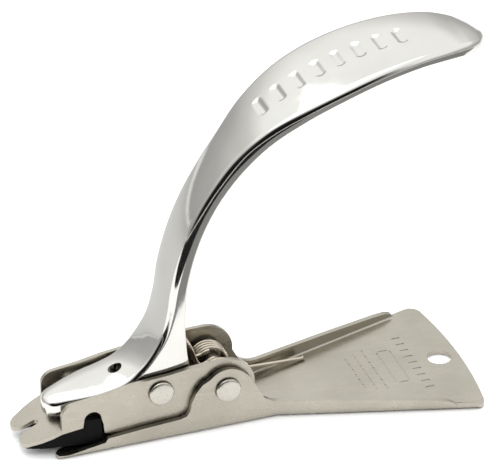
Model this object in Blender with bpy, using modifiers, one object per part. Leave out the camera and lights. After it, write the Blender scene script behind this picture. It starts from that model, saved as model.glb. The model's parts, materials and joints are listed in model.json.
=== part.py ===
"""Lever staple remover: a channel-shaped base with a fanned heel plate, a forked jaw
nested in its front end, a curved channel handle riveted into the jaw, a hardened lifter
blade under the forks, two rivets, a sleeve and a double torsion spring.

X runs along the tool (forks at -X, heel plate at +X), Y across it, Z up. The origin is on
the underside of the base, straight below the jaw pivot. Sizes are in millimetres times MM.
"""

import math

import bmesh
import bpy
from mathutils import Vector

MM = 0.001

# Pivot and handle rivet, in side view
PIVOT = (0.0, 13.2)
HANDLE_RIVET = (-19.5, 15.3)

# Sheet metal
BASE_SHEET = 1.5
JAW_SHEET = 1.3
HANDLE_SHEET = 1.5
BASE_HALF = 11.9
JAW_HALF = 10.1
FIT = 0.3

# Base
BEND_OUTER = 2.3
FLARE_START = 15.0
FLARE_SLOPE = math.tan(math.radians(16.2))
HEEL_X = 75.8
HEEL_REAR_R = 150.0
HEEL_CORNER_R = 3.6
HEEL_TILT = 9.5
PLAN_MARGIN = 0.4
HANG_HOLE_X = 69.8
HANG_HOLE_R = 3.7
EAR_R = 6.7
PRONG_TIP_X = -51.0

# Jaw
JAW_SLOPE = math.tan(math.radians(7.0))
TONGUE_SLOPE = math.tan(math.radians(23.0))
BREAK_X = -48.6
WEB_BOTTOM = 7.9
WEB_REAR_X = -27.5
TONGUE_TIP_X = -60.0
SLOT_HALF = 1.2
SLOT_END_X = -53.2
REAR_ARC_R = 8.8
NOTCH_X = (-42.9, -36.9)
NOTCH_TOP = 13.3

# Lifter blade
BLADE_BOTTOM = 3.4
BLADE_GAP_HALF = 3.2
BLADE_LUG_TOP = 10.5
BLADE_INSET = 0.35
BLADE_BAR_X = -41.0

# Rivets, sleeve and spring
SHANK_R = 2.0
HEAD_R = 3.75
HEAD_HEIGHT = 1.0
SLEEVE_R = 3.4
COIL_R = 4.9
WIRE_R = 0.55
COIL_TURNS = 4.6
COIL_PITCH = 1.2
COIL_Y = 7.6
COIL_START = math.radians(-52)
SPRING_LEG_END = 32.0
SPRING_REST_Z = BASE_SHEET + FIT + WIRE_R
BRIDGE_HALF = 2.4

# Handle
FOOT_HALF = 8.2
FOOT_HOLE_X = -30.0
FOOT_HOLE_R = 2.0
HANDLE_STATIONS = 54
HOLLOW_STATIONS = 61
CROWN = 0.5

# Bend between the handle's top and its sides: radius at the foot and up the lever, and
# the heights between which it grows
ROUND_FOOT = 1.7
ROUND_LEVER = 3.0
ROUND_GROWS = (24.0, 44.0)

# Handle stations: top line x, z; flange edge x, z; half width
HANDLE_LINES = [
    (-51.9, 13.9, -51.7, 10.2, 1.2),
    (-51.2, 14.5, -51.0, 10.3, 3.0),
    (-49.6, 15.0, -49.3, 10.5, 4.5),
    (-46.5, 15.8, -46.2, 10.6, 5.6),
    (-42.5, 16.6, -42.0, 11.0, 6.8),
    (-38.0, 17.4, -37.2, 11.6, 7.8),
    (-33.0, 18.4, -31.6, 12.2, FOOT_HALF),
    (-28.0, 20.2, -25.0, 11.8, FOOT_HALF),
    (-24.0, 23.4, -16.5, 11.0, FOOT_HALF),
    (-20.7, 27.8, -10.6, 17.5, FOOT_HALF),
    (-18.1, 33.0, -10.9, 27.0, FOOT_HALF),
    (-16.4, 40.4, -11.3, 36.3, FOOT_HALF),
    (-15.0, 49.4, -10.5, 47.3, FOOT_HALF + 0.1),
    (-12.3, 59.0, -8.2, 57.4, FOOT_HALF + 0.2),
    (-8.4, 68.4, -4.8, 66.3, FOOT_HALF + 0.3),
    (-3.2, 77.4, -0.2, 74.6, FOOT_HALF + 0.6),
    (3.4, 86.4, 5.9, 82.8, FOOT_HALF + 1.5),
    (11.2, 94.4, 13.4, 91.2, FOOT_HALF + 3.9),
    (21.0, 100.9, 22.9, 98.1, FOOT_HALF + 6.4),
    (32.0, 105.9, 33.2, 102.9, FOOT_HALF + 7.5),
    (44.0, 109.5, 44.6, 106.4, FOOT_HALF + 7.2),
    (56.0, 111.4, 56.0, 108.3, FOOT_HALF + 6.1),
    (66.0, 111.7, 65.8, 108.4, FOOT_HALF + 4.4),
    (72.6, 110.8, 72.1, 107.6, FOOT_HALF + 2.2),
    (77.0, 109.6, 76.4, 106.5, FOOT_HALF - 0.6),
    (79.3, 108.6, 78.7, 105.8, FOOT_HALF - 3.4),
    (80.3, 108.1, 79.7, 105.5, FOOT_HALF - 5.7),
    (80.7, 107.8, 80.1, 105.4, 0.9),
]

THROUGH = 60.0
CLEAR_R = SHANK_R + FIT


def clear_scene():
    for obj in list(bpy.data.objects):
        bpy.data.objects.remove(obj, do_unlink=True)


def new_collection(name):
    group = bpy.data.collections.new(name)
    bpy.context.scene.collection.children.link(group)
    return group


def make_material(name, color, roughness, metallic):
    material = bpy.data.materials.new(name)
    material.use_nodes = True
    shader = material.node_tree.nodes["Principled BSDF"]
    shader.inputs["Base Color"].default_value = (*color, 1.0)
    shader.inputs["Roughness"].default_value = roughness
    shader.inputs["Metallic"].default_value = metallic
    return material


def put(name, mesh, group, material=None):
    obj = bpy.data.objects.new(name, mesh)
    group.objects.link(obj)
    if material:
        mesh.materials.append(material)
    else:
        obj.hide_render = True
        obj.display_type = "WIRE"
    return obj


def catmull_rom(p, q, r, s, u):
    """The value a fraction u of the way from q to r, on the smooth curve through all four."""
    square = 2 * p - 5 * q + 4 * r - s
    cube = 3 * q - p - 3 * r + s
    return 0.5 * (2 * q + (r - p) * u + square * u**2 + cube * u**3)


def step_between(low, high, value):
    u = min(1.0, max(0.0, (value - low) / (high - low)))
    return u * u * (3 - 2 * u)


def spline_through(points, count):
    """count values along a Catmull-Rom curve through points, which are tuples of any length."""
    ends = [points[0], *points, points[-1]]
    spans = len(points) - 1
    values = []
    for index in range(count):
        place = index * spans / (count - 1)
        span = min(int(place), spans - 1)
        values.append(tuple(catmull_rom(*four, place - span) for four in zip(*ends[span : span + 4])))
    return values


def arc(center, radius, start, end, count):
    """Points round center from start to end, in degrees."""
    angles = [math.radians(start + (end - start) * i / (count - 1)) for i in range(count)]
    return [(center[0] + radius * math.cos(a), center[1] + radius * math.sin(a)) for a in angles]


def prism(name, outline, low, high, plane, group, material=None):
    """A flat outline extruded from low to high. plane XZ extrudes along Y, plane XY along Z."""
    curve = bpy.data.curves.new(name, "CURVE")
    curve.dimensions = "2D"
    curve.fill_mode = "BOTH"
    curve.extrude = (high - low) / 2 * MM
    spline = curve.splines.new("POLY")
    spline.points.add(len(outline) - 1)
    for point, (a, b) in zip(spline.points, outline):
        point.co = (a * MM, b * MM, 0, 1)
    spline.use_cyclic_u = True
    guide = bpy.data.objects.new(name, curve)
    bpy.context.scene.collection.objects.link(guide)
    middle = (low + high) / 2 * MM
    if plane == "XZ":
        guide.rotation_euler = (math.pi / 2, 0, 0)
        guide.location = (0, middle, 0)
    else:
        guide.location = (0, 0, middle)
    bpy.context.view_layer.update()
    mesh = bpy.data.meshes.new_from_object(guide.evaluated_get(bpy.context.evaluated_depsgraph_get()))
    mesh.transform(guide.matrix_world)
    bpy.data.objects.remove(guide, do_unlink=True)
    tidy(mesh)
    return put(name, mesh, group, material)


def tidy(mesh):
    """Welds loose caps and turns every face outward."""
    bm = bmesh.new()
    bm.from_mesh(mesh)
    bmesh.ops.remove_doubles(bm, verts=bm.verts, dist=0.00001)
    bmesh.ops.recalc_face_normals(bm, faces=bm.faces)
    bm.to_mesh(mesh)
    bm.free()


def loft(name, loops, group, material=None):
    """A closed solid through equal closed loops of points, capped at both ends."""
    bm = bmesh.new()
    rows = [[bm.verts.new(Vector(point) * MM) for point in loop] for loop in loops]
    size = len(rows[0])
    for before, after in zip(rows, rows[1:]):
        for i in range(size):
            j = (i + 1) % size
            bm.faces.new((before[i], before[j], after[j], after[i]))
    bmesh.ops.triangulate(bm, faces=[bm.faces.new(rows[0]), bm.faces.new(rows[-1])])
    mesh = bpy.data.meshes.new(name)
    bm.to_mesh(mesh)
    bm.free()
    tidy(mesh)
    return put(name, mesh, group, material)


def rod(name, place, radius, half_length, group, sides=40):
    """A cylinder along Y, centred on side-view place."""
    bm = bmesh.new()
    size = radius * MM
    length = 2 * half_length * MM
    bmesh.ops.create_cone(bm, cap_ends=True, segments=sides, radius1=size, radius2=size, depth=length)
    mesh = bpy.data.meshes.new(name)
    bm.to_mesh(mesh)
    bm.free()
    obj = put(name, mesh, group)
    obj.rotation_euler = (math.pi / 2, 0, 0)
    obj.location = (place[0] * MM, 0, place[1] * MM)
    return obj


def upright_rod(name, x, radius, low, high, group, sides=40):
    obj = rod(name, (x, (low + high) / 2), radius, (high - low) / 2, group, sides)
    obj.rotation_euler = (0, 0, 0)
    return obj


def combine(obj, other, operation):
    modifier = obj.modifiers.new(operation.title() + "_" + other.name, "BOOLEAN")
    modifier.operation = operation
    modifier.object = other
    modifier.solver = "EXACT"


def bake(obj):
    """Applies an object's modifiers, so that later steps see the finished mesh."""
    bpy.context.view_layer.update()
    mesh = bpy.data.meshes.new_from_object(obj.evaluated_get(bpy.context.evaluated_depsgraph_get()))
    obj.modifiers.clear()
    old = obj.data
    obj.data = mesh
    bpy.data.meshes.remove(old)
    clean = bmesh.new()
    clean.from_mesh(mesh)
    bmesh.ops.remove_doubles(clean, verts=clean.verts, dist=0.000005)
    bmesh.ops.dissolve_degenerate(clean, edges=clean.edges, dist=0.000005)
    clean.to_mesh(mesh)
    clean.free()


def hang_on(obj, parent):
    """Parents obj to an empty and keeps it where it is, with its origin on the empty."""
    obj.data.transform(obj.matrix_world)
    obj.data.transform(parent.matrix_world.inverted())
    obj.matrix_world.identity()
    obj.rotation_euler = (0, 0, 0)
    obj.location = (0, 0, 0)
    obj.parent = parent


def smooth(obj, degrees=32):
    obj.data.shade_smooth()
    obj.data.set_sharp_from_angle(angle=math.radians(degrees))


def base_half_width(x):
    return BASE_HALF + max(0.0, x - FLARE_START) * FLARE_SLOPE


def base_section(x, height):
    """One U of the base's outer surface, from the near flange's top across to the far one's."""
    half = base_half_width(x)
    bend = arc((half - BEND_OUTER, BEND_OUTER), BEND_OUTER, -90, 0, 5)
    far = [*bend, (half, height)]
    near = [(-y, z) for y, z in reversed(far)]
    return [(x, y, z) for y, z in near + far]


def base_side_outline():
    """Side view: prongs, low front flange, pivot ear, valley and the tapering heel flange."""
    low = -5.0
    ear = arc(PIVOT, EAR_R, 140, 45, 12)
    prong = [(-53, low), (-53, 1.2), (-48.5, 1.2), (-42, 2.5), (-36.9, 3.3)]
    front = [(-36.1, 4.5), (-26, 5.4), (-14.5, 6.1)]
    rise = [(-12.4, 6.7), (-11.4, 8.2), (-10.9, 10.8), (-9.7, 13.6), (-7.6, 16.2)]
    fall = [(6.9, 15.8), (8.4, 13.0), (9.8, 10.3), (11.2, 7.7), (13.6, 6.2), (17, 5.7)]
    heel = [(40, 4.9), (58, 4.0), (62.0, 3.6), (64.2, 2.8), (65.2, BASE_SHEET)]
    end = [(80, BASE_SHEET), (80, low)]
    return prong + front + rise + ear + fall + heel + end


def base_plan_outline():
    """Plan view: two pointed prongs with a notch between them, and the rounded heel."""
    side = BASE_HALF + PLAN_MARGIN
    far = [
        (-39.0, 0.0),
        (-39.5, 1.4),
        (-41.2, 2.6),
        (-45.0, 4.6),
        (-50.2, 7.9),
        (PRONG_TIP_X, 9.2),
        (PRONG_TIP_X + 0.4, 10.9),
        (-47.0, 11.75),
        (-41.0, side),
        (FLARE_START - 1, side),
    ]
    flare = math.atan(FLARE_SLOPE)
    tilt = math.radians(HEEL_TILT)
    corner_x = HEEL_X - HEEL_REAR_R * (1 - math.cos(tilt)) - HEEL_CORNER_R * math.cos(tilt)
    start_x = corner_x - HEEL_CORNER_R * math.sin(flare)
    corner_y = base_half_width(start_x) + 0.05 - HEEL_CORNER_R * math.cos(flare)
    corner = arc((corner_x, corner_y), HEEL_CORNER_R, 90 + math.degrees(flare), HEEL_TILT, 8)
    reach = math.degrees(math.asin(corner[-1][1] / HEEL_REAR_R))
    far += corner + arc((HEEL_X - HEEL_REAR_R, 0), HEEL_REAR_R, reach, 0, 7)[1:]
    near = [(x, -y) for x, y in reversed(far[1:-1])]
    return far + near


def make_base(group, cutters, steel):
    stations = [-55, FLARE_START, 90]
    shell = bmesh.new()
    rows = [[shell.verts.new(Vector(p) * MM) for p in base_section(x, 30)] for x in stations]
    for before, after in zip(rows, rows[1:]):
        for i in range(len(before) - 1):
            shell.faces.new((before[i], after[i], after[i + 1], before[i + 1]))
    mesh = bpy.data.meshes.new("base_frame")
    shell.to_mesh(mesh)
    shell.free()
    base = put("base_frame", mesh, group, steel)
    thicken = base.modifiers.new("Sheet", "SOLIDIFY")
    thicken.thickness = BASE_SHEET * MM
    thicken.offset = 1.0
    thicken.use_even_offset = True
    bake(base)
    tidy(base.data)
    side = prism("base_side", base_side_outline(), -THROUGH, THROUGH, "XZ", cutters)
    plan = prism("base_plan", base_plan_outline(), -2, 40, "XY", cutters)
    combine(base, side, "INTERSECT")
    combine(base, plan, "INTERSECT")
    combine(base, rod("base_pivot_hole", PIVOT, CLEAR_R, 30, cutters), "DIFFERENCE")
    hanging_hole = upright_rod("hanging_hole", HANG_HOLE_X, HANG_HOLE_R, -3, 5, cutters, 48)
    combine(base, hanging_hole, "DIFFERENCE")
    bake(base)
    smooth(base)
    return base


def web_line(x):
    """Height of the underside of the jaw's web and of its bent-down tongue."""
    slope = TONGUE_SLOPE if x < BREAK_X else JAW_SLOPE
    return WEB_BOTTOM + (x - BREAK_X) * slope


def web_outline():
    xs = [TONGUE_TIP_X - 2, BREAK_X - 0.8, BREAK_X + 0.8, WEB_REAR_X]
    under = [(x, web_line(x)) for x in xs]
    over = [(x, web_line(x) + JAW_SHEET) for x in reversed(xs)]
    return under + over


def tongue_plan_outline(inset=0.0):
    """Plan of the forked tongue and web: two rounded prongs with a slot between them."""
    prong_half = 3.3
    side = JAW_HALF - 0.05 - inset
    tip = arc((TONGUE_TIP_X + prong_half, SLOT_HALF + prong_half), prong_half - inset, 270, 128, 9)
    slot = arc((SLOT_END_X - SLOT_HALF, 0), SLOT_HALF + inset, 0, 90, 5)
    flank = [(-57.6, 7.6 - inset), (-54.8, 8.9 - inset), (-51.8, 9.7 - inset)]
    flank += [(-48.5, side), (-20, side)]
    far = [*slot, *tip, *flank]
    near = [(x, -y) for x, y in reversed(far[1:])]
    return far + near


def jaw_wall_outline():
    """Side view of a jaw wall, without its notch."""
    front = [(-49.2, 7.75), (-49.3, 12.9)]
    nose = arc((-45.2, 12.9), 4.1, 170, 100, 7)
    top = [(-38.2, 17.9), (-30.7, 19.3), (-24.3, 20.1), (-17.0, 20.6), (-11.3, 21.4), (-5.5, 21.9)]
    rear = arc(PIVOT, REAR_ARC_R, 95, -90, 24)
    below = [(-16, 4.5), (-30, 5.0), (-35.6, 5.2), (-36.6, 5.6), (-37.0, 9.1), (-42.9, 8.55)]
    return front + nose + top + rear + below


def notch_outline():
    left, right = NOTCH_X
    radius = (right - left) / 2 - 0.4
    top = arc(((left + right) / 2 - 0.1, NOTCH_TOP - radius), radius, 0, 180, 11)
    return [(right + 0.7, 2), (right + 0.1, 8.4)] + top + [(left, 8.4), (left - 0.2, 2)]


def make_jaw(group, cutters, steel, pivot):
    jaw = prism("jaw_frame", web_outline(), -JAW_HALF + 0.05, JAW_HALF - 0.05, "XZ", group, steel)
    combine(jaw, prism("tongue_plan", tongue_plan_outline(), -5, 40, "XY", cutters), "INTERSECT")
    inner = JAW_HALF - JAW_SHEET
    outline = jaw_wall_outline()
    for side, low, high in (("near", -JAW_HALF, -inner), ("far", inner, JAW_HALF)):
        combine(jaw, prism("jaw_wall_" + side, outline, low, high, "XZ", cutters), "UNION")
    bake(jaw)
    for side, low, high in (("near", -14, -7.0), ("far", 7.0, 14)):
        combine(jaw, prism("jaw_notch_" + side, notch_outline(), low, high, "XZ", cutters), "DIFFERENCE")
    for name, place in (("jaw_pivot_hole", PIVOT), ("jaw_rivet_hole", HANDLE_RIVET)):
        combine(jaw, rod(name, place, CLEAR_R, 30, cutters), "DIFFERENCE")
    bake(jaw)
    smooth(jaw)
    hang_on(jaw, pivot)
    return jaw


def make_blade(group, cutters, black, pivot):
    """Hardened fork under the tongue, joined at its rear, with a lug up into each wall notch."""
    left, right = NOTCH_X
    under = web_line
    drop = FIT
    outline = [
        (TONGUE_TIP_X + 0.5, BLADE_BOTTOM - 0.4),
        (-50, BLADE_BOTTOM),
        (left, BLADE_BOTTOM - 0.6),
        (right - 0.2, 2.6),
        (right - 0.3, under(right) - drop),
        (left + 0.5, under(left) - drop),
        (BREAK_X, under(BREAK_X) - drop),
        (TONGUE_TIP_X + 0.5, max(under(TONGUE_TIP_X + 0.5) - drop, BLADE_BOTTOM - 0.3)),
    ]
    blade = prism("lifter_blade", outline, -9.85, 9.85, "XZ", group, black)
    plan = prism("blade_plan", tongue_plan_outline(BLADE_INSET), -5, 40, "XY", cutters)
    combine(blade, plan, "INTERSECT")
    gap = [(-70, -BLADE_GAP_HALF), (BLADE_BAR_X, -BLADE_GAP_HALF)]
    gap += [(x, -y) for x, y in reversed(gap)]
    combine(blade, prism("blade_gap", gap, -5, 40, "XY", cutters), "DIFFERENCE")
    bake(blade)
    lug = [(left + 0.4, 5), (right - 0.4, 5)]
    lug += [(right - 0.45, BLADE_LUG_TOP), (left + 0.45, BLADE_LUG_TOP)]
    for side, low, high in (("near", -9.8, -7.4), ("far", 7.4, 9.8)):
        combine(blade, prism("blade_lug_" + side, lug, low, high, "XZ", cutters), "UNION")
    bake(blade)
    smooth(blade)
    hang_on(blade, pivot)
    return blade


def handle_loop(station, wall):
    """One closed section of the handle. wall is 0 on the outside and the sheet's thickness inside."""
    top_x, top_z, edge_x, edge_z, half = station
    down = Vector((edge_x - top_x, 0, edge_z - top_z))
    depth = down.length
    down.normalize()
    width = half - wall
    bend = ROUND_FOOT + (ROUND_LEVER - ROUND_FOOT) * step_between(*ROUND_GROWS, top_z)
    radius = min(bend - wall * 0.6, width * 0.7, depth * 0.66)
    crown = CROWN * min(1.0, width / FOOT_HALF)
    depth += 3.0 if wall else 0.0
    start = wall
    corner = arc((width - radius, start + radius), radius, -90, 0, 7)
    far = [(0.0, start - crown), (width * 0.45, start - crown * 0.7)] + corner
    far += [(width, start + radius + (depth - start - radius) * 0.5), (width, depth)]
    near = [(-y, d) for y, d in reversed(far[1:])]
    base = Vector((top_x, 0, top_z))
    return [base + down * d + Vector((0, y, 0)) for y, d in far + near]


def make_handle(group, cutters, steel, pivot):
    stations = spline_through(HANDLE_LINES, HANDLE_STATIONS)
    handle = loft("lever_handle", [handle_loop(s, 0.0) for s in stations], group, steel)
    inside = [s for s in spline_through(HANDLE_LINES, HOLLOW_STATIONS) if s[4] > HANDLE_SHEET + 2.2]
    hollow = loft("handle_hollow", [handle_loop(s, HANDLE_SHEET) for s in inside], cutters)
    combine(handle, hollow, "DIFFERENCE")
    combine(handle, rod("handle_rivet_hole", HANDLE_RIVET, CLEAR_R, 30, cutters), "DIFFERENCE")
    foot_hole = upright_rod("foot_hole", FOOT_HOLE_X, FOOT_HOLE_R, 15, 26, cutters, 32)
    combine(handle, foot_hole, "DIFFERENCE")
    bake(handle)
    smooth(handle)
    hang_on(handle, pivot)
    return handle


def make_rivet(name, place, seat, group, steel):
    """A turned rivet along Y with a flat round head outside each wall, whose faces are at seat."""
    chamfer = 0.35
    top = seat + HEAD_HEIGHT
    profile = [(0, top), (HEAD_R - chamfer, top), (HEAD_R, top - chamfer)]
    profile += [(HEAD_R, seat), (SHANK_R, seat)]
    profile += [(r, -y) for r, y in reversed(profile)]
    return turned(name, place, profile, group, steel)


def turned(name, place, profile, group, material, closed=False):
    """A profile of radius and height, top to bottom, turned about an axis along Y at place."""
    bm = bmesh.new()
    verts = [bm.verts.new((r * MM, 0, h * MM)) for r, h in profile]
    for a, b in zip(verts, verts[1:]):
        bm.edges.new((a, b))
    if closed:
        bm.edges.new((verts[-1], verts[0]))
    mesh = bpy.data.meshes.new(name)
    bm.to_mesh(mesh)
    bm.free()
    obj = put(name, mesh, group, material)
    screw = obj.modifiers.new("Turn", "SCREW")
    screw.steps = 40
    screw.render_steps = screw.steps
    screw.use_merge_vertices = True
    screw.merge_threshold = 0.00001
    screw.use_normal_calculate = True
    bake(obj)
    tidy(obj.data)
    obj.rotation_euler = (math.pi / 2, 0, 0)
    obj.location = (place[0] * MM, 0, place[1] * MM)
    smooth(obj)
    bpy.context.view_layer.update()
    return obj


def coil_points(side):
    """One coil group of the spring, from its outer end by the wall to its inner end."""
    steps = 14
    count = int(COIL_TURNS * steps)
    points = []
    for i in range(count + 1):
        angle = COIL_START - 2 * math.pi * i / steps
        y = side * (COIL_Y - COIL_PITCH * i / steps)
        points.append((PIVOT[0] + COIL_R * math.cos(angle), y, PIVOT[1] + COIL_R * math.sin(angle)))
    return points


def spring_points():
    """Leg, coil, bridge behind the handle, coil, leg."""
    far = coil_points(1)
    near = coil_points(-1)
    far_leg = [
        (SPRING_LEG_END, COIL_Y + 4.6, SPRING_REST_Z),
        (SPRING_LEG_END - 2.5, COIL_Y + 4.2, SPRING_REST_Z + 0.1),
        (9.0, COIL_Y + 1.2, 5.6),
    ]
    near_leg = [(x, -y, z) for x, y, z in reversed(far_leg)]
    far_arm = [(-5.2, BRIDGE_HALF, 17.0), (-7.6, BRIDGE_HALF, 22.5), (-8.3, BRIDGE_HALF - 0.6, 24.2)]
    near_arm = [(x, -y, z) for x, y, z in reversed(far_arm)]
    return far_leg + far + far_arm + near_arm + list(reversed(near)) + near_leg


def make_spring(group, steel):
    curve = bpy.data.curves.new("torsion_spring", "CURVE")
    curve.dimensions = "3D"
    curve.bevel_depth = WIRE_R * MM
    curve.bevel_resolution = 2
    curve.use_fill_caps = True
    points = spring_points()
    spline = curve.splines.new("POLY")
    spline.points.add(len(points) - 1)
    for point, place in zip(spline.points, points):
        point.co = (*[value * MM for value in place], 1)
    obj = bpy.data.objects.new("torsion_spring", curve)
    group.objects.link(obj)
    curve.materials.append(steel)
    return obj


def main():
    clear_scene()
    parts = new_collection("staple_remover")
    cutters = new_collection("cutters")
    cutters.hide_render = True
    satin = make_material("satin_nickel", (0.62, 0.59, 0.54), 0.32, 1.0)
    bright = make_material("bright_nickel", (0.72, 0.70, 0.67), 0.10, 1.0)
    black = make_material("black_oxide", (0.02, 0.02, 0.02), 0.45, 0.3)
    wire = make_material("spring_wire", (0.58, 0.52, 0.44), 0.25, 1.0)
    pivot = bpy.data.objects.new("jaw_pivot", None)
    parts.objects.link(pivot)
    pivot.location = (PIVOT[0] * MM, 0, PIVOT[1] * MM)
    bpy.context.view_layer.update()
    make_base(parts, cutters, satin)
    make_jaw(parts, cutters, satin, pivot)
    make_blade(parts, cutters, black, pivot)
    make_handle(parts, cutters, bright, pivot)
    rivet = make_rivet("handle_rivet", HANDLE_RIVET, JAW_HALF + FIT, parts, satin)
    hang_on(rivet, pivot)
    make_rivet("pivot_rivet", PIVOT, BASE_HALF + FIT, parts, satin)
    inner = SHANK_R + FIT
    reach = JAW_HALF - JAW_SHEET - FIT
    tube = [(SLEEVE_R, reach), (SLEEVE_R, -reach), (inner, -reach), (inner, reach)]
    turned("spring_sleeve", PIVOT, tube, parts, satin, closed=True)
    make_spring(parts, wire)


main()
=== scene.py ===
"""Looks of the lever staple remover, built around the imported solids. Metres, as the frame."""

import json
import math

import bmesh
import bpy
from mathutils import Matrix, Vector


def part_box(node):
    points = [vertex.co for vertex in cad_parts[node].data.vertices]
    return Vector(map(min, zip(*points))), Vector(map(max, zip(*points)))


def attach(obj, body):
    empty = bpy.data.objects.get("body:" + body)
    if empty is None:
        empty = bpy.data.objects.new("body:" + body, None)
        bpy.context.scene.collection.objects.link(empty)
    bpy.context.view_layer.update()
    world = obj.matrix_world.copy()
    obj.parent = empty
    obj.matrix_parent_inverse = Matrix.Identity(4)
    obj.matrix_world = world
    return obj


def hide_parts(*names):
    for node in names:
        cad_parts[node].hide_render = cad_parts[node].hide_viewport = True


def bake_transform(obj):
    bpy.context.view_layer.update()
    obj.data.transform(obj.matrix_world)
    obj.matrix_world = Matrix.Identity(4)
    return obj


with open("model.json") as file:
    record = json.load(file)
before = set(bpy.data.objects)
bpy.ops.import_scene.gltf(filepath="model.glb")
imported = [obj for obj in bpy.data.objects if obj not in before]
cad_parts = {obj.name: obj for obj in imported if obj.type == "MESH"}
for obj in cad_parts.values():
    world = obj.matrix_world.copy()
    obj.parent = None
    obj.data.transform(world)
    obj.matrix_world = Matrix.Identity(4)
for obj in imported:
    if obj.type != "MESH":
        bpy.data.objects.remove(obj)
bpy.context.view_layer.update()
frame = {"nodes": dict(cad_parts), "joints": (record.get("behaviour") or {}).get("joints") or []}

MM = 0.001
NODES = frame["nodes"]
PIVOT = Vector(frame["joints"][0]["pos_m"])
SHEET_TOP = 1.5 * MM


# ---------------------------------------------------------------- materials


def principled(name):
    material = bpy.data.materials.new(name)
    material.use_nodes = True
    tree = material.node_tree
    return material, tree, tree.nodes["Principled BSDF"]


def add_noise(tree, scale, stretch, detail):
    """A noise in object space, in metres, stretched by a factor on each axis."""
    place = tree.nodes.new("ShaderNodeTexCoord")
    mapping = tree.nodes.new("ShaderNodeMapping")
    mapping.inputs["Scale"].default_value = stretch
    noise = tree.nodes.new("ShaderNodeTexNoise")
    noise.inputs["Scale"].default_value = scale
    noise.inputs["Detail"].default_value = detail
    tree.links.new(place.outputs["Object"], mapping.inputs["Vector"])
    tree.links.new(mapping.outputs["Vector"], noise.inputs["Vector"])
    return noise.outputs["Fac"]


def ramp(tree, value, low, high, at=(0.3, 0.7)):
    """Maps a value on to colours or greys, low to high."""
    node = tree.nodes.new("ShaderNodeValToRGB")
    for stop, color, position in zip(node.color_ramp.elements, (low, high), at):
        stop.color = (*color, 1) if isinstance(color, tuple) else (color, color, color, 1)
        stop.position = position
    tree.links.new(value, node.inputs["Fac"])
    return node.outputs["Color"]


def metal(name, light, dark, rough, rough_spread, grain, grain_stretch, bump, metallic=1.0):
    """Plated metal: broad tone variation, fine directional grain and micro bump."""
    material, tree, shader = principled(name)
    tone = add_noise(tree, 55, (1, 1, 1), 3)
    tree.links.new(ramp(tree, tone, dark, light), shader.inputs["Base Color"])
    fine = add_noise(tree, grain, grain_stretch, 4)
    roughness = ramp(tree, fine, rough - rough_spread, rough + rough_spread)
    tree.links.new(roughness, shader.inputs["Roughness"])
    shader.inputs["Metallic"].default_value = metallic
    height = tree.nodes.new("ShaderNodeBump")
    height.inputs["Strength"].default_value = bump
    height.inputs["Distance"].default_value = 0.00004
    tree.links.new(fine, height.inputs["Height"])
    tree.links.new(height.outputs["Normal"], shader.inputs["Normal"])
    return material


satin = metal(
    "satin_nickel", (0.435, 0.406, 0.345), (0.375, 0.35, 0.294),
    0.30, 0.06, 900, (0.25, 1, 1), 0.30
)
bright = metal(
    "bright_nickel", (0.66, 0.645, 0.61), (0.61, 0.595, 0.56),
    0.09, 0.03, 700, (1, 1, 1), 0.05
)
rivet_metal = metal(
    "rivet_nickel", (0.55, 0.525, 0.47), (0.48, 0.455, 0.40),
    0.26, 0.06, 1100, (1, 1, 1), 0.25
)
# Painted shade: the lifter blade gets a near-black colour and an almost-off reflection, so that it stands
# for the dark shade beneath the tongue.
blade_dark_painted_shade = metal(
    "black_oxide", (0.005, 0.005, 0.005), (0.002, 0.002, 0.002),
    0.38, 0.10, 1500, (1, 1, 1), 0.4, 0.35
)
blade_dark_painted_shade.node_tree.nodes["Principled BSDF"].inputs["Specular IOR Level"].default_value = 0.08
wire = metal("spring_wire", (0.62, 0.56, 0.47), (0.48, 0.42, 0.34), 0.22, 0.06, 1400, (0.3, 1, 1), 0.25)


# ---------------------------------------------------------------- mesh tools


def put(name, mesh, material, body, replaced=None):
    mesh.materials.clear()
    mesh.materials.append(material)
    obj = bpy.data.objects.new(name, mesh)
    bpy.context.scene.collection.objects.link(obj)
    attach(obj, body)
    if replaced:
        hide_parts(replaced)
    return obj


def smooth(obj, degrees):
    obj.data.shade_smooth()
    obj.data.set_sharp_from_angle(angle=math.radians(degrees))


def finished(obj):
    """Applies the modifiers into the object's own mesh."""
    bpy.context.view_layer.update()
    mesh = bpy.data.meshes.new_from_object(obj.evaluated_get(bpy.context.evaluated_depsgraph_get()))
    obj.modifiers.clear()
    obj.data = mesh
    return obj


def cut(obj, cutter):
    modifier = obj.modifiers.new("Cut", "BOOLEAN")
    modifier.operation = "DIFFERENCE"
    modifier.object = cutter
    finished(obj)
    bpy.data.objects.remove(cutter, do_unlink=True)


def solid_of(node):
    """A welded copy of a CAD node's mesh with its flat faces made whole."""
    bm = bmesh.new()
    bm.from_mesh(NODES[node].data)
    bmesh.ops.remove_doubles(bm, verts=bm.verts, dist=0.000002)
    bmesh.ops.dissolve_limit(bm, angle_limit=math.radians(0.6), verts=bm.verts, edges=bm.edges)
    mesh = bpy.data.meshes.new(node + "_finished")
    bm.to_mesh(mesh)
    bm.free()
    return mesh


def soften(obj, width, angle=38, segments=2):
    bevel = obj.modifiers.new("Edges", "BEVEL")
    bevel.width = width
    bevel.segments = segments
    bevel.limit_method = "ANGLE"
    bevel.angle_limit = math.radians(angle)
    bevel.miter_outer = "MITER_ARC"
    bevel.use_clamp_overlap = True
    finished(obj)


def even_normals(obj):
    """Smooth shading in which the large faces stay flat and only the rounded edges turn."""
    obj.data.shade_smooth()
    weigh = obj.modifiers.new("Flat faces", "WEIGHTED_NORMAL")
    weigh.weight = 100
    weigh.keep_sharp = False
    finished(obj)


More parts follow.
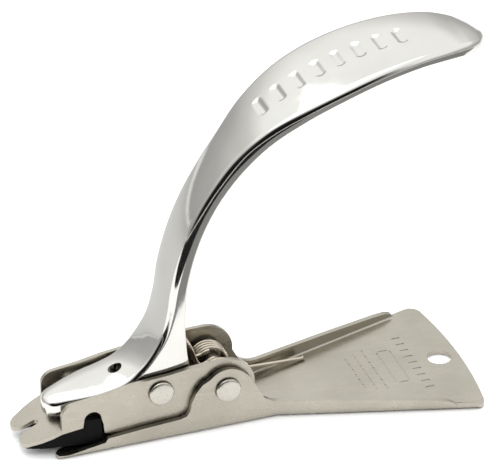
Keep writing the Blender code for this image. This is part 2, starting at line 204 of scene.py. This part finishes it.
def loft(name, loops):
    """A closed solid through equal closed loops of points, capped at both ends."""
    bm = bmesh.new()
    rows = [[bm.verts.new(point) for point in loop] for loop in loops]
    size = len(rows[0])
    for before, after in zip(rows, rows[1:]):
        for i in range(size):
            j = (i + 1) % size
            bm.faces.new((before[i], before[j], after[j], after[i]))
    bm.faces.new(rows[0])
    bm.faces.new(rows[-1])
    bmesh.ops.recalc_face_normals(bm, faces=bm.faces)
    mesh = bpy.data.meshes.new(name)
    bm.to_mesh(mesh)
    bm.free()
    return mesh


def turned(name, place, profile, steps=72):
    """A closed profile of (radius, height) turned about an axis along Y at place."""
    bm = bmesh.new()
    rings = []
    angles = [2 * math.pi * i / steps for i in range(steps)]
    for radius, height in profile:
        points = [(place.x + radius * math.cos(a), height, place.z + radius * math.sin(a)) for a in angles]
        rings.append([bm.verts.new(point) for point in points])
    for before, after in zip(rings, rings[1:]):
        for i in range(steps):
            j = (i + 1) % steps
            bm.faces.new((before[i], before[j], after[j], after[i]))
    bm.faces.new(rings[0])
    bm.faces.new(rings[-1])
    bmesh.ops.recalc_face_normals(bm, faces=bm.faces)
    mesh = bpy.data.meshes.new(name)
    bm.to_mesh(mesh)
    bm.free()
    return mesh


def catmull_rom(p, q, r, s, u):
    """The value a fraction u of the way from q to r, on the smooth curve through all four."""
    square = 2 * p - 5 * q + 4 * r - s
    cube = 3 * q - p - 3 * r + s
    return 0.5 * (2 * q + (r - p) * u + square * u**2 + cube * u**3)


def spline_through(points, count):
    """count values along a Catmull-Rom curve through points, which are tuples of any length."""
    ends = [points[0], *points, points[-1]]
    spans = len(points) - 1
    values = []
    for index in range(count):
        place = index * spans / (count - 1)
        span = min(int(place), spans - 1)
        values.append(tuple(catmull_rom(*four, place - span) for four in zip(*ends[span : span + 4])))
    return values


def step_between(low, high, value):
    u = min(1.0, max(0.0, (value - low) / (high - low)))
    return u * u * (3 - 2 * u)


# ---------------------------------------------------------------- handle

# The handle's stations, as in the solid: top line x, z; flange edge x, z; half width, in millimetres
FOOT_HALF = 8.2
HANDLE_LINES = [
    (-51.9, 13.9, -51.7, 10.2, 1.2),
    (-51.2, 14.5, -51.0, 10.3, 3.0),
    (-49.6, 15.0, -49.3, 10.5, 4.5),
    (-46.5, 15.8, -46.2, 10.6, 5.6),
    (-42.5, 16.6, -42.0, 11.0, 6.8),
    (-38.0, 17.4, -37.2, 11.6, 7.8),
    (-33.0, 18.4, -31.6, 12.2, FOOT_HALF),
    (-28.0, 20.2, -25.0, 11.8, FOOT_HALF),
    (-24.0, 23.4, -16.5, 11.0, FOOT_HALF),
    (-20.7, 27.8, -10.6, 17.5, FOOT_HALF),
    (-18.1, 33.0, -10.9, 27.0, FOOT_HALF),
    (-16.4, 40.4, -11.3, 36.3, FOOT_HALF),
    (-15.0, 49.4, -10.5, 47.3, FOOT_HALF + 0.1),
    (-12.3, 59.0, -8.2, 57.4, FOOT_HALF + 0.2),
    (-8.4, 68.4, -4.8, 66.3, FOOT_HALF + 0.3),
    (-3.2, 77.4, -0.2, 74.6, FOOT_HALF + 0.6),
    (3.4, 86.4, 5.9, 82.8, FOOT_HALF + 1.5),
    (11.2, 94.4, 13.4, 91.2, FOOT_HALF + 3.9),
    (21.0, 100.9, 22.9, 98.1, FOOT_HALF + 6.4),
    (32.0, 105.9, 33.2, 102.9, FOOT_HALF + 7.5),
    (44.0, 109.5, 44.6, 106.4, FOOT_HALF + 7.2),
    (56.0, 111.4, 56.0, 108.3, FOOT_HALF + 6.1),
    (66.0, 111.7, 65.8, 108.4, FOOT_HALF + 4.4),
    (72.6, 110.8, 72.1, 107.6, FOOT_HALF + 2.2),
    (77.0, 109.6, 76.4, 106.5, FOOT_HALF - 0.6),
    (79.3, 108.6, 78.7, 105.8, FOOT_HALF - 3.4),
    (80.3, 108.1, 79.7, 105.5, FOOT_HALF - 5.7),
    (80.7, 107.8, 80.1, 105.4, 0.9),
]
HANDLE_SHEET = 1.5
FOOT_HOLE = (-30.0, 0.0, 20.0)
FOOT_HOLE_R = 2.0
ROUND_FOOT = 1.7
ROUND_LEVER = 3.0
ROUND_GROWS = (24.0, 44.0)
HANDLE_CROWN = 0.5
HANDLE_STATIONS = 560
HOLLOW_FADE = (2.4, 5.0)
TOP_POINTS = 34
MARK_COUNT = 8
MARK_PITCH = 6.3
MARK_START_X = 14.0
MARK_HALF_LENGTH = 2.7
MARK_RADIUS = 1.15
MARK_DEPTH = 0.5
MARK_EDGE = 0.26


def mark_depth(along, across):
    """Depth of the row of plain pressed bars across the paddle, at a place on its top."""
    nearest = min(max(round(along / MARK_PITCH), 0), MARK_COUNT - 1)
    gap = math.hypot(along - nearest * MARK_PITCH, max(abs(across) - MARK_HALF_LENGTH, 0.0))
    return MARK_DEPTH * (1 - step_between(MARK_RADIUS - MARK_EDGE, MARK_RADIUS + MARK_EDGE * 0.3, gap))


def handle_loop(station, along):
    """One closed channel section: outside over the top, round each rim and back inside."""
    top_x, top_z, edge_x, edge_z, half = station
    down = Vector((edge_x - top_x, 0, edge_z - top_z))
    depth = down.length
    down.normalize()
    bend = ROUND_FOOT + (ROUND_LEVER - ROUND_FOOT) * step_between(*ROUND_GROWS, top_z)
    radius = min(bend, half * 0.7, depth * 0.66)
    crown = HANDLE_CROWN * min(1.0, half / FOOT_HALF)
    flat = half - radius
    far = []
    for i in range(TOP_POINTS):
        y = flat * i / (TOP_POINTS - 1)
        rise = crown * (1 - (y / max(flat, 0.1)) ** 2)
        far.append((y, -rise + mark_depth(along, y)))
    turns = 9
    for i in range(1, turns):
        angle = math.pi / 2 * i / (turns - 1)
        far.append((flat + radius * math.sin(angle), radius * (1 - math.cos(angle))))
    lip = 0.35
    far += [(half, depth * 0.75 + radius * 0.2), (half, depth - lip)]
    far += [(half - lip * 0.3, depth - lip * 0.3), (half - lip, depth)]
    open_part = step_between(*HOLLOW_FADE, half)
    inner = max(half - HANDLE_SHEET, half * 0.35)
    ceiling = depth - open_part * (depth - HANDLE_SHEET) - 0.02
    round_in = min(1.2, (depth - ceiling) * 0.5, inner * 0.5)
    far += [(inner + lip * 0.6, depth), (inner, depth - min(lip, (depth - ceiling) * 0.3))]
    for i in range(5):
        angle = math.pi / 2 * i / 4
        far.append((inner - round_in * (1 - math.cos(angle)), ceiling + round_in * (1 - math.sin(angle))))
    far.append((0.0, ceiling))
    near = [(-y, d) for y, d in reversed(far[1:-1])]
    base = Vector((top_x, 0, top_z))
    return [(base + down * d + Vector((0, y, 0))) * MM for y, d in far + near]


def make_handle():
    stations = spline_through(HANDLE_LINES, HANDLE_STATIONS)
    lengths = [0.0]
    for before, after in zip(stations, stations[1:]):
        lengths.append(lengths[-1] + math.dist(before[:2], after[:2]))
    start = next(length for length, s in zip(lengths, stations) if s[0] > MARK_START_X)
    loops = [handle_loop(s, length - start) for s, length in zip(stations, lengths)]
    mesh = loft("handle_polished", loops)
    handle = put("handle_polished", mesh, bright, "jaw", "lever_handle")
    radius, place = FOOT_HOLE_R * MM, [value * MM for value in FOOT_HOLE]
    bpy.ops.mesh.primitive_cylinder_add(vertices=48, radius=radius, depth=14 * MM, location=place)
    cut(handle, bpy.context.object)
    smooth(handle, 50)
    return handle


# ---------------------------------------------------------------- sheet parts and rivets

EDGE = 0.28 * MM


PRESS_DEPTH = 0.2 * MM
HEEL_ROWS = (
    # x, bar half length, bar half thickness, how many, spacing
    (61.5, 0.95, 0.42, 9, 3.4),
    (49.6, 1.20, 0.22, 7, 3.2),
    (46.6, 0.70, 0.22, 9, 2.2),
    (43.6, 1.00, 0.22, 6, 2.8),
)
PANEL_X = 55.3
PANEL_HALF = (2.0, 8.6)
PANEL_LINE = 0.24


def add_bar(bm, x, y, half_length, half_width, along_y):
    """A flat bar with round ends, in millimetres, from inside the heel plate to above it."""
    turns = 7
    outline = []
    for side in (1, -1):
        for i in range(turns):
            a = -math.pi / 2 + math.pi * i / (turns - 1)
            end = half_length + half_width * math.cos(a)
            outline.append((side * end, side * half_width * math.sin(a)))
    if along_y:
        outline = [(-v, u) for u, v in outline]
    rings = []
    for z in (SHEET_TOP - PRESS_DEPTH, SHEET_TOP + 2 * MM):
        rings.append([bm.verts.new(((x + u) * MM, (y + v) * MM, z)) for u, v in outline])
    size = len(outline)
    for i in range(size):
        j = (i + 1) % size
        bm.faces.new((rings[0][i], rings[0][j], rings[1][j], rings[1][i]))
    bm.faces.new(list(reversed(rings[0])))
    bm.faces.new(rings[1])


def press_marks(base):
    """Plain short bars in rows across the heel plate, round an empty framed panel."""
    bm = bmesh.new()
    for x, half_length, half_width, count, spacing in HEEL_ROWS:
        for i in range(count):
            y = (i - (count - 1) / 2) * spacing
            add_bar(bm, x, y, half_length, half_width, x < HEEL_ROWS[0][0])
    half_x, half_y = PANEL_HALF
    gap = 3 * PANEL_LINE
    for side in (1, -1):
        add_bar(bm, PANEL_X + side * half_x, 0, half_y - gap, PANEL_LINE, True)
        add_bar(bm, PANEL_X, side * half_y, half_x - gap, PANEL_LINE, False)
    bmesh.ops.recalc_face_normals(bm, faces=bm.faces)
    mesh = bpy.data.meshes.new("heel_press")
    bm.to_mesh(mesh)
    bm.free()
    press = bpy.data.objects.new("heel_press", mesh)
    bpy.context.scene.collection.objects.link(press)
    cut(base, press)


def make_base():
    base = put("base_finished", solid_of("base_frame"), satin, "base", "base_frame")
    soften(base, EDGE)
    press_marks(base)
    even_normals(base)


def make_jaw():
    jaw = put("jaw_finished", solid_of("jaw_frame"), satin, "jaw", "jaw_frame")
    soften(jaw, EDGE)
    even_normals(jaw)


def make_blade():
    # The blade's near-black material is painted shade for the dark beneath the tongue.
    blade = put("blade_finished", solid_of("lifter_blade"), blade_dark_painted_shade, "jaw", "lifter_blade")
    soften(blade, 0.18 * MM)
    even_normals(blade)


def make_rivet(name, node, body):
    """A rivet with a gently domed head whose rim rolls over, from the solid's own box."""
    low, high = (Vector(corner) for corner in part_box(node))
    center = (low + high) / 2
    radius = (high.x - low.x) / 2
    top = high.y
    shank = 2.0 * MM
    seat = top - 1.0 * MM
    half = [(0.05 * MM, top), (radius * 0.45, top - 0.02 * MM), (radius * 0.72, top - 0.08 * MM)]
    turns = 7
    roll = 0.62 * MM
    for i in range(turns):
        angle = math.pi / 2 * i / (turns - 1)
        rim = radius - roll + roll * math.sin(angle)
        half.append((rim, top - 0.16 * MM - roll * (1 - math.cos(angle))))
    half += [(radius, seat + 0.1 * MM), (radius - 0.1 * MM, seat)]
    half += [(shank + 0.2 * MM, seat), (shank, seat - 0.2 * MM)]
    profile = half + [(r, -h) for r, h in reversed(half)]
    rivet = put(name, turned(name, center, profile), rivet_metal, body, node)
    smooth(rivet, 40)


def make_sleeve():
    low, high = (Vector(corner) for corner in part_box("spring_sleeve"))
    center = (low + high) / 2
    outer = (high.x - low.x) / 2
    inner = 2.3 * MM
    lip = 0.25 * MM
    top = high.y
    profile = [(inner, top - lip), (inner + lip, top), (outer - lip, top), (outer, top - lip)]
    profile += [(r, -h) for r, h in reversed(profile)]
    mesh = tube_of("sleeve_turned", center, profile)
    sleeve = put("sleeve_turned", mesh, rivet_metal, "base", "spring_sleeve")
    smooth(sleeve, 40)


def tube_of(name, place, profile):
    """A closed profile turned about Y with its first and last rings joined, so it stays a tube."""
    mesh = turned(name, place, profile + [profile[0]])
    bm = bmesh.new()
    bm.from_mesh(mesh)
    bmesh.ops.delete(bm, geom=[face for face in bm.faces if len(face.verts) > 4], context="FACES_ONLY")
    bmesh.ops.remove_doubles(bm, verts=bm.verts, dist=0.000001)
    bmesh.ops.recalc_face_normals(bm, faces=bm.faces)
    bm.to_mesh(mesh)
    bm.free()
    return mesh


# ---------------------------------------------------------------- spring

COIL_R = 4.9
WIRE_R = 0.55
COIL_TURNS = 4.6
COIL_PITCH = 1.2
COIL_Y = 7.6


def half_spring_points(side):
    """From the leg's end on the heel plate, round the coil and up to the middle of the bridge."""
    rest_z = 1.5 + 0.3 + WIRE_R
    leg = [(32.0, COIL_Y + 4.6, rest_z), (29.5, COIL_Y + 4.2, rest_z + 0.1), (9.0, COIL_Y + 1.2, 5.6)]
    steps = 36
    coil = []
    for i in range(int(COIL_TURNS * steps) + 1):
        angle = math.radians(-52) - 2 * math.pi * i / steps
        y = COIL_Y - COIL_PITCH * i / steps
        coil.append((COIL_R * math.cos(angle), y, PIVOT.z / MM + COIL_R * math.sin(angle)))
    arm = [(-5.2, 2.4, 17.0), (-7.6, 2.4, 22.5), (-8.3, 1.8, 24.2), (-8.35, 0.0, 24.3)]
    leg = spline_through([*leg, coil[0]], 30)[:-1]
    arm = spline_through([coil[-1], *arm], 30)[1:]
    return [Vector((x, side * y, z)) * MM for x, y, z in leg + coil + arm]


def sweep(name, points, radius, sides=14):
    """A round wire along points, closed at both ends."""
    loops = []
    up = Vector((0, 1, 0.001)).normalized()
    for i, point in enumerate(points):
        ahead = points[min(i + 1, len(points) - 1)] - points[max(i - 1, 0)]
        ahead.normalize()
        across = (up - ahead * up.dot(ahead)).normalized()
        other = ahead.cross(across)
        up = across
        angles = [2 * math.pi * k / sides for k in range(sides)]
        loops.append([point + (across * math.cos(a) + other * math.sin(a)) * radius for a in angles])
    return loft(name, loops)


def make_spring():
    """Two mirrored halves, each running from the fixed coil to the bridge that the handle moves."""
    for side, name in ((1, "spring_far"), (-1, "spring_near")):
        mesh = sweep(name, half_spring_points(side), WIRE_R * MM)
        mesh.materials.append(wire)
        obj = bpy.data.objects.new(name, mesh)
        bpy.context.scene.collection.objects.link(obj)
        smooth(obj, 60)
        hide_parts("torsion_spring")
        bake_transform(obj)


make_base()
make_jaw()
make_blade()
make_handle()
make_rivet("handle_rivet_finished", "handle_rivet", "jaw")
make_rivet("pivot_rivet_finished", "pivot_rivet", "base")
make_sleeve()
make_spring()


# ---------------------------------------------------------------- stage, light and camera


# Corners of the studio cards on the floor, x and y in metres
LEFT_CARD = ((-1.6, -0.9), (0.0, -0.9), (-0.03, -0.14), (-0.14, -0.07), (-1.6, 0.10))
BACK_CARD = ((-1.6, 0.14), (-0.14, 0.02), (-0.03, 0.05), (0.04, 0.40), (0.04, 0.90), (-1.6, 0.90))
FRONT_CARD = ((-0.04, -0.9), (0.9, -0.9), (0.9, -0.07), (-0.04, -0.07))


def make_floor():
    bpy.ops.mesh.primitive_plane_add(size=6.0, location=(0, 0, -0.0002))
    floor = bpy.context.object
    floor.name = "floor"
    material, _, shader = principled("floor_white")
    shader.inputs["Roughness"].default_value = 0.9
    shader.inputs["Base Color"].default_value = (0.96, 0.96, 0.96, 1)
    floor.data.materials.append(material)


def make_card(name, corners, grey):
    """A studio card lying on the floor beyond the view. Only mirrored rays see it."""
    bm = bmesh.new()
    bm.faces.new([bm.verts.new((x, y, 0.0006)) for x, y in corners])
    mesh = bpy.data.meshes.new(name)
    bm.to_mesh(mesh)
    bm.free()
    card = bpy.data.objects.new(name, mesh)
    bpy.context.scene.collection.objects.link(card)
    material, _, shader = principled(name + "_paper")
    shader.inputs["Base Color"].default_value = (grey, grey, grey, 1)
    shader.inputs["Roughness"].default_value = 1.0
    shader.inputs["Specular IOR Level"].default_value = 0.0
    mesh.materials.append(material)
    card.visible_camera = False
    card.visible_diffuse = False
    card.visible_shadow = False


def area_light(name, place, target, size, power, mirrored=True):
    data = bpy.data.lights.new(name, "AREA")
    data.shape = "RECTANGLE"
    data.size, data.size_y = size
    data.energy = power
    light = bpy.data.objects.new(name, data)
    bpy.context.scene.collection.objects.link(light)
    light.location = place
    light.visible_glossy = mirrored
    light.rotation_euler = (Vector(target) - Vector(place)).to_track_quat("-Z", "Y").to_euler()


def grey_ramp(tree, value, stops):
    """A ramp of greys or colours at the given places."""
    node = tree.nodes.new("ShaderNodeValToRGB")
    elements = node.color_ramp.elements
    while len(elements) < len(stops):
        elements.new(0.5)
    for element, (position, tone) in zip(elements, stops):
        element.position = position
        element.color = (*tone, 1) if isinstance(tone, tuple) else (tone, tone, tone, 1)
    tree.links.new(value, node.inputs["Fac"])
    return node.outputs["Color"]


def lit_from(tree, value, low, high):
    """0 where value is below low and 1 above high, with a soft edge between."""
    node = tree.nodes.new("ShaderNodeMapRange")
    node.interpolation_type = "SMOOTHSTEP"
    node.inputs["From Min"].default_value = low
    node.inputs["From Max"].default_value = high
    tree.links.new(value, node.inputs["Value"])
    return node.outputs["Result"]


def make_world():
    """A pale dome, dark only round the camera, where polished bends mirror the unlit room."""
    world = bpy.data.worlds.new("studio")
    bpy.context.scene.world = world
    world.use_nodes = True
    tree = world.node_tree
    tree.nodes.clear()
    place = tree.nodes.new("ShaderNodeTexCoord")
    split = tree.nodes.new("ShaderNodeSeparateXYZ")
    tree.links.new(place.outputs["Generated"], split.inputs["Vector"])
    height = tree.nodes.new("ShaderNodeMapRange")
    height.inputs["From Min"].default_value = -1.0
    tree.links.new(split.outputs["Z"], height.inputs["Value"])
    sky = (1.30, 1.32, 1.33)
    front = ((0.0, 0.75), (0.49, 0.6), (0.505, 0.010), (0.80, 0.015), (0.86, 0.7), (0.92, sky), (1.0, sky))
    behind = ((0.0, 0.75), (0.49, 0.5), (0.51, 0.52), (0.60, 0.62), (0.69, 0.90), (0.75, sky), (1.0, sky))
    lit = [
        lit_from(tree, split.outputs["Y"], -0.35, 0.10),
        lit_from(tree, split.outputs["X"], 0.15, 0.45),
    ]
    side = tree.nodes.new("ShaderNodeMath")
    side.operation = "MAXIMUM"
    for value, socket in zip(lit, side.inputs):
        tree.links.new(value, socket)
    blend = tree.nodes.new("ShaderNodeMix")
    blend.data_type = "RGBA"
    tree.links.new(side.outputs["Value"], blend.inputs["Factor"])
    tree.links.new(grey_ramp(tree, height.outputs["Result"], front), blend.inputs[6])
    tree.links.new(grey_ramp(tree, height.outputs["Result"], behind), blend.inputs[7])
    background = tree.nodes.new("ShaderNodeBackground")
    background.inputs["Strength"].default_value = 1.0
    plain = tree.nodes.new("ShaderNodeBackground")
    plain.inputs["Color"].default_value = (0.95, 0.95, 0.95, 1)
    path = tree.nodes.new("ShaderNodeLightPath")
    mix = tree.nodes.new("ShaderNodeMixShader")
    out = tree.nodes.new("ShaderNodeOutputWorld")
    tree.links.new(blend.outputs[2], background.inputs["Color"])
    tree.links.new(path.outputs["Is Camera Ray"], mix.inputs["Fac"])
    tree.links.new(background.outputs["Background"], mix.inputs[1])
    tree.links.new(plain.outputs["Background"], mix.inputs[2])
    tree.links.new(mix.outputs["Shader"], out.inputs["Surface"])


def make_camera():
    """Looks from the front left, about 31 degrees above the surface, through a long lens."""
    azimuth, elevation = math.radians(-20), math.radians(31.5)
    right = Vector((math.cos(azimuth), math.sin(azimuth), 0))
    lean = math.sin(elevation)
    up = Vector((-math.sin(azimuth) * lean, math.cos(azimuth) * lean, math.cos(elevation)))
    ahead = up.cross(right)
    near_hinge = Vector((0, -11.9 * MM, PIVOT.z))
    target = near_hinge + right * 6.27 * MM + up * 44.1 * MM
    distance = 1.4
    data = bpy.data.cameras.new("camera")
    data.sensor_width = 36
    data.lens = 36 * 3.51 * distance / (500 * MM)
    camera = bpy.data.objects.new("camera", data)
    bpy.context.scene.collection.objects.link(camera)
    camera.location = target - ahead * distance
    camera.rotation_euler = ahead.to_track_quat("-Z", "Y").to_euler()
    bpy.context.scene.camera = camera


make_floor()
make_world()
area_light("front_fill", (-0.2, -0.7, 0.8), (0, 0, 0), (0.6, 0.6), 7.0, mirrored=False)
area_light("overhead", (-0.15, 0.15, 0.7), (0, 0, 0.04), (0.7, 0.7), 1.6)
make_card("left_card", LEFT_CARD, 0.012)
make_card("back_card", BACK_CARD, 0.55)
make_card("front_card", FRONT_CARD, 0.20)
make_camera()
bpy.context.scene.view_settings.view_transform = "Standard"
